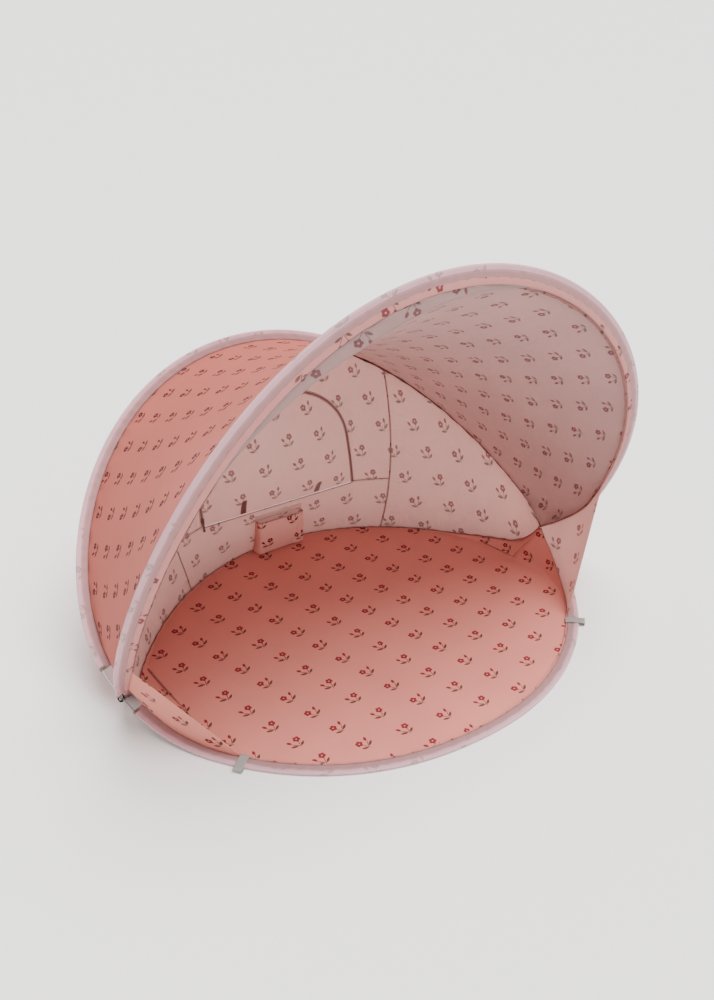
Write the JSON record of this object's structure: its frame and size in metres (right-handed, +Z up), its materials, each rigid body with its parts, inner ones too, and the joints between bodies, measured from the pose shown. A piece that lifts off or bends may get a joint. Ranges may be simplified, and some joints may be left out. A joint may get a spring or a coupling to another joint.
{
  "type": "pop-up beach tent",
  "caption": "Small pop-up beach tent: crossing spring-wire hoops in sleeves carry a floor, a back wall with a zipped window flap and pocket, a saddle roof and side gussets.",
  "frame": {"origin": "on the ground under the middle of the tent's overall box", "axes": "+X is left to right as seen from the open front, -Y is the open front, +Z is up"},
  "size_m": [1.1528, 0.9491, 0.8811],
  "materials": {
    "spring_steel": "bright drawn spring wire and crimped tubes",
    "sleeve_cloth": "plain pale polyester, doubled and stitched",
    "printed_cloth": "salmon polyester, print side",
    "reverse_cloth": "salmon polyester, pale reverse side",
    "seam_binding": "dark narrow binding tape",
    "tie_cloth": "folded strip of dark cloth",
    "black_cord": "thin black cord",
    "zip_tape": "woven tape with a nylon coil",
    "zip_metal": "painted die casting",
    "loop_webbing": "flat woven webbing"
  },
  "bodies": {
    "rear_half": {"rear_arch_wire": "spring_steel", "rear_floor_wire": "spring_steel", "rear_arch_ferrule": "spring_steel", "rear_floor_ferrule": "spring_steel", "rear_arch_sleeve": "sleeve_cloth", "rear_floor_sleeve": "sleeve_cloth", "floor_rear": "printed_cloth", "roof_panel": "printed_cloth", "wall_window_surround": "reverse_cloth", "wall_low_band": "reverse_cloth", "wall_left": "reverse_cloth", "wall_right": "reverse_cloth", "window_zip": "zip_tape", "wall_pocket": "printed_cloth", "corner_tie_left": "black_cord", "corner_tie_right": "black_cord", "rear_arch_binding": "seam_binding", "rear_floor_binding": "seam_binding"},
    "front_half": {"front_floor_wire": "spring_steel", "canopy_wire": "spring_steel", "front_floor_sleeve": "sleeve_cloth", "canopy_sleeve": "sleeve_cloth", "floor_front": "printed_cloth", "front_floor_binding": "seam_binding", "canopy_binding": "seam_binding", "gusset_left": "printed_cloth", "gusset_right": "printed_cloth"},
    "window_flap_body": {"window_flap": "reverse_cloth"},
    "flap_tie_left_body": {"flap_tie_left": "tie_cloth"},
    "flap_tie_right_body": {"flap_tie_right": "tie_cloth"},
    "zip_slider_body": {"zip_slider": "zip_metal"},
    "zip_pull_body": {"zip_pull": "zip_metal"},
    "stake_loop_left_body": {"stake_loop_left": "loop_webbing"},
    "stake_loop_right_body": {"stake_loop_right": "loop_webbing"}
  },
  "joints": [
    {"name": "fold", "type": "hinge", "parent": "rear_half", "child": "front_half", "pos_m": [0, -0.061, 0.05367], "axis": [-1, 0, 0], "range_deg": [0, 45.8], "stiffness_Nm_per_rad": 1.5, "deforming": ["roof_panel"]},
    {"name": "window_flap_turn", "type": "hinge", "parent": "rear_half", "child": "window_flap_body", "pos_m": [0, 0.3, 0.134], "axis": [1, 0, 0], "range_deg": [0, 100]},
    {"name": "flap_tie_left_turn", "type": "hinge", "parent": "window_flap_body", "child": "flap_tie_left_body", "pos_m": [-0.098, 0.29844, 0.138], "axis": [1, 0, 0], "range_deg": [0, 80]},
    {"name": "flap_tie_right_turn", "type": "hinge", "parent": "window_flap_body", "child": "flap_tie_right_body", "pos_m": [0.098, 0.29844, 0.138], "axis": [1, 0, 0], "range_deg": [0, 80]},
    {"name": "zip_slider_travel", "type": "hinge", "parent": "rear_half", "child": "zip_slider_body", "pos_m": [-0.2, 0.90518, 0.06533], "axis": [-1, 0, 0], "range_deg": [0, 7.05]},
    {"name": "zip_pull_swing", "type": "hinge", "parent": "zip_slider_body", "child": "zip_pull_body", "pos_m": [-0.2, 0.29653, 0.14915], "axis": [-1, 0, 0], "range_deg": [0, 70]},
    {"name": "stake_loop_left_turn", "type": "hinge", "parent": "front_half", "child": "stake_loop_left_body", "pos_m": [-0.38817, -0.28216, 0.00577], "axis": [-0.6802, 0.733, 0], "range_deg": [0, 70]},
    {"name": "stake_loop_right_turn", "type": "hinge", "parent": "front_half", "child": "stake_loop_right_body", "pos_m": [0.38817, -0.28216, 0.00577], "axis": [-0.6802, -0.733, 0], "range_deg": [0, 70]}
  ]
}
